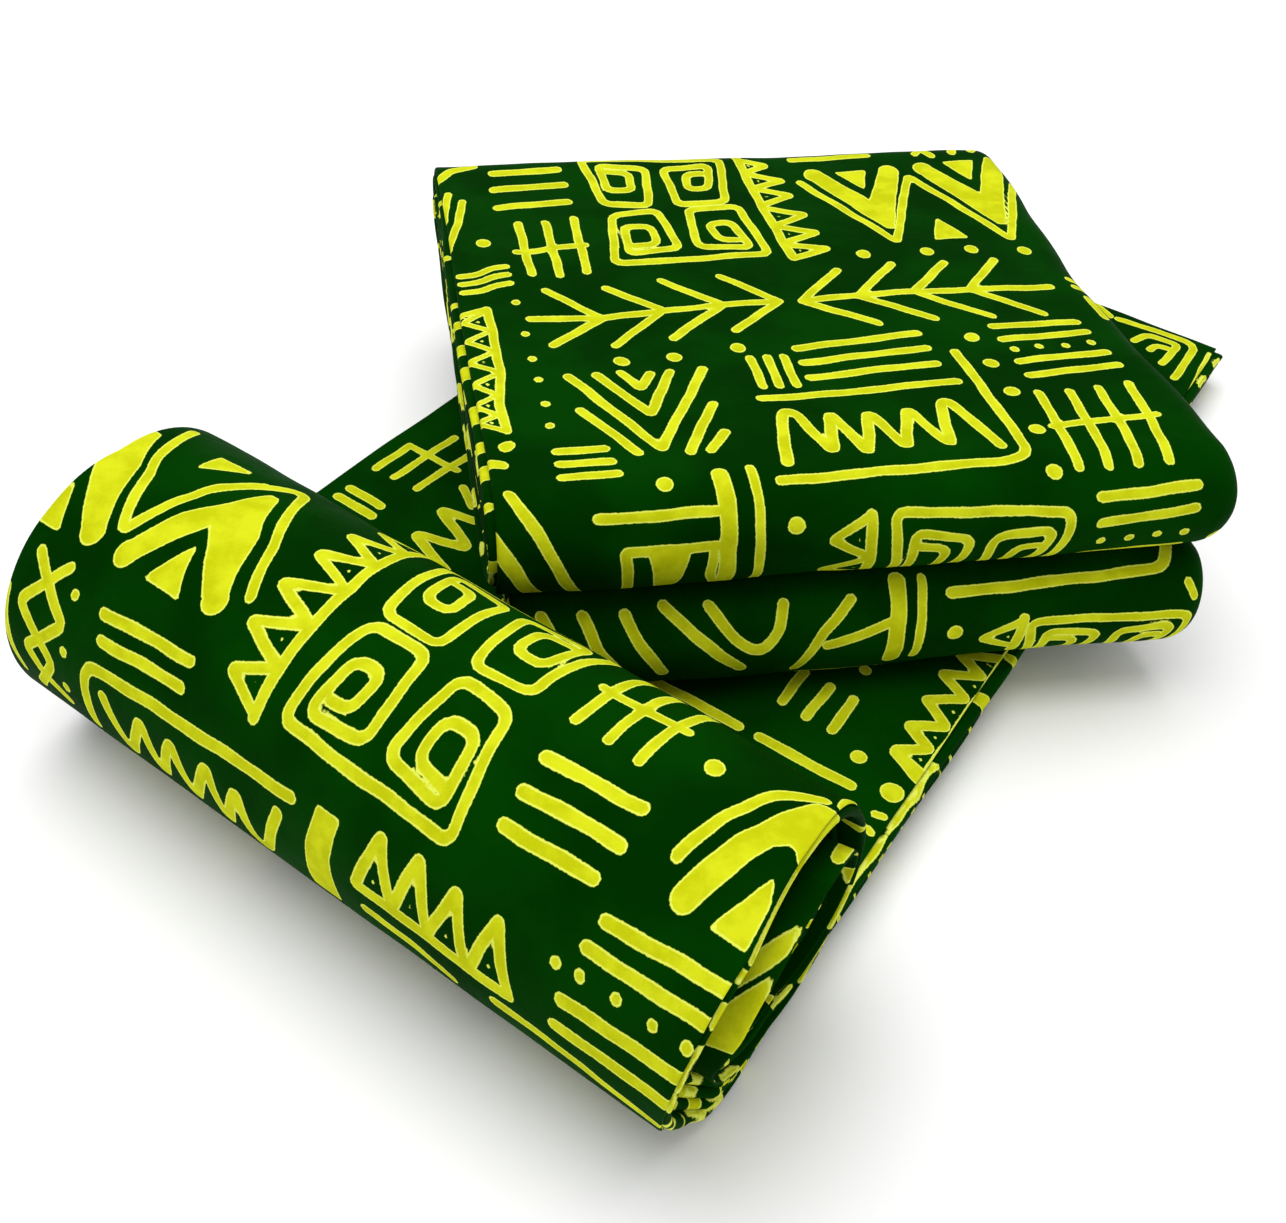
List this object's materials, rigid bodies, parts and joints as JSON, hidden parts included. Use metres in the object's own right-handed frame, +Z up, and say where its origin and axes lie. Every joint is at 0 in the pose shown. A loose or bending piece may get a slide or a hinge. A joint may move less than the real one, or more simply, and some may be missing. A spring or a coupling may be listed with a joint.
{
  "type": "folded and rolled ankara cloth",
  "caption": "Green and yellow wax-print cotton by the length: a long folded band rolled up from its end, with flat folded bundles stacked across it",
  "frame": {"origin": "on the floor under the middle of the pile's bounding box", "axes": "+Z up; +X along the front edge of the stacked bundles, to the right as the picture shows them; +Y from their front folds to the back"},
  "size_m": [0.5631, 0.624, 0.1149],
  "materials": {
    "rolled_band": "smooth printed cotton with a soft sheen",
    "lower_bundle": "smooth printed cotton with a soft sheen",
    "upper_bundle": "smooth printed cotton with a soft sheen"
  },
  "bodies": {
    "root": {"rolled_band": "rolled_band", "lower_bundle": "lower_bundle", "upper_bundle": "upper_bundle"}
  },
  "joints": []
}
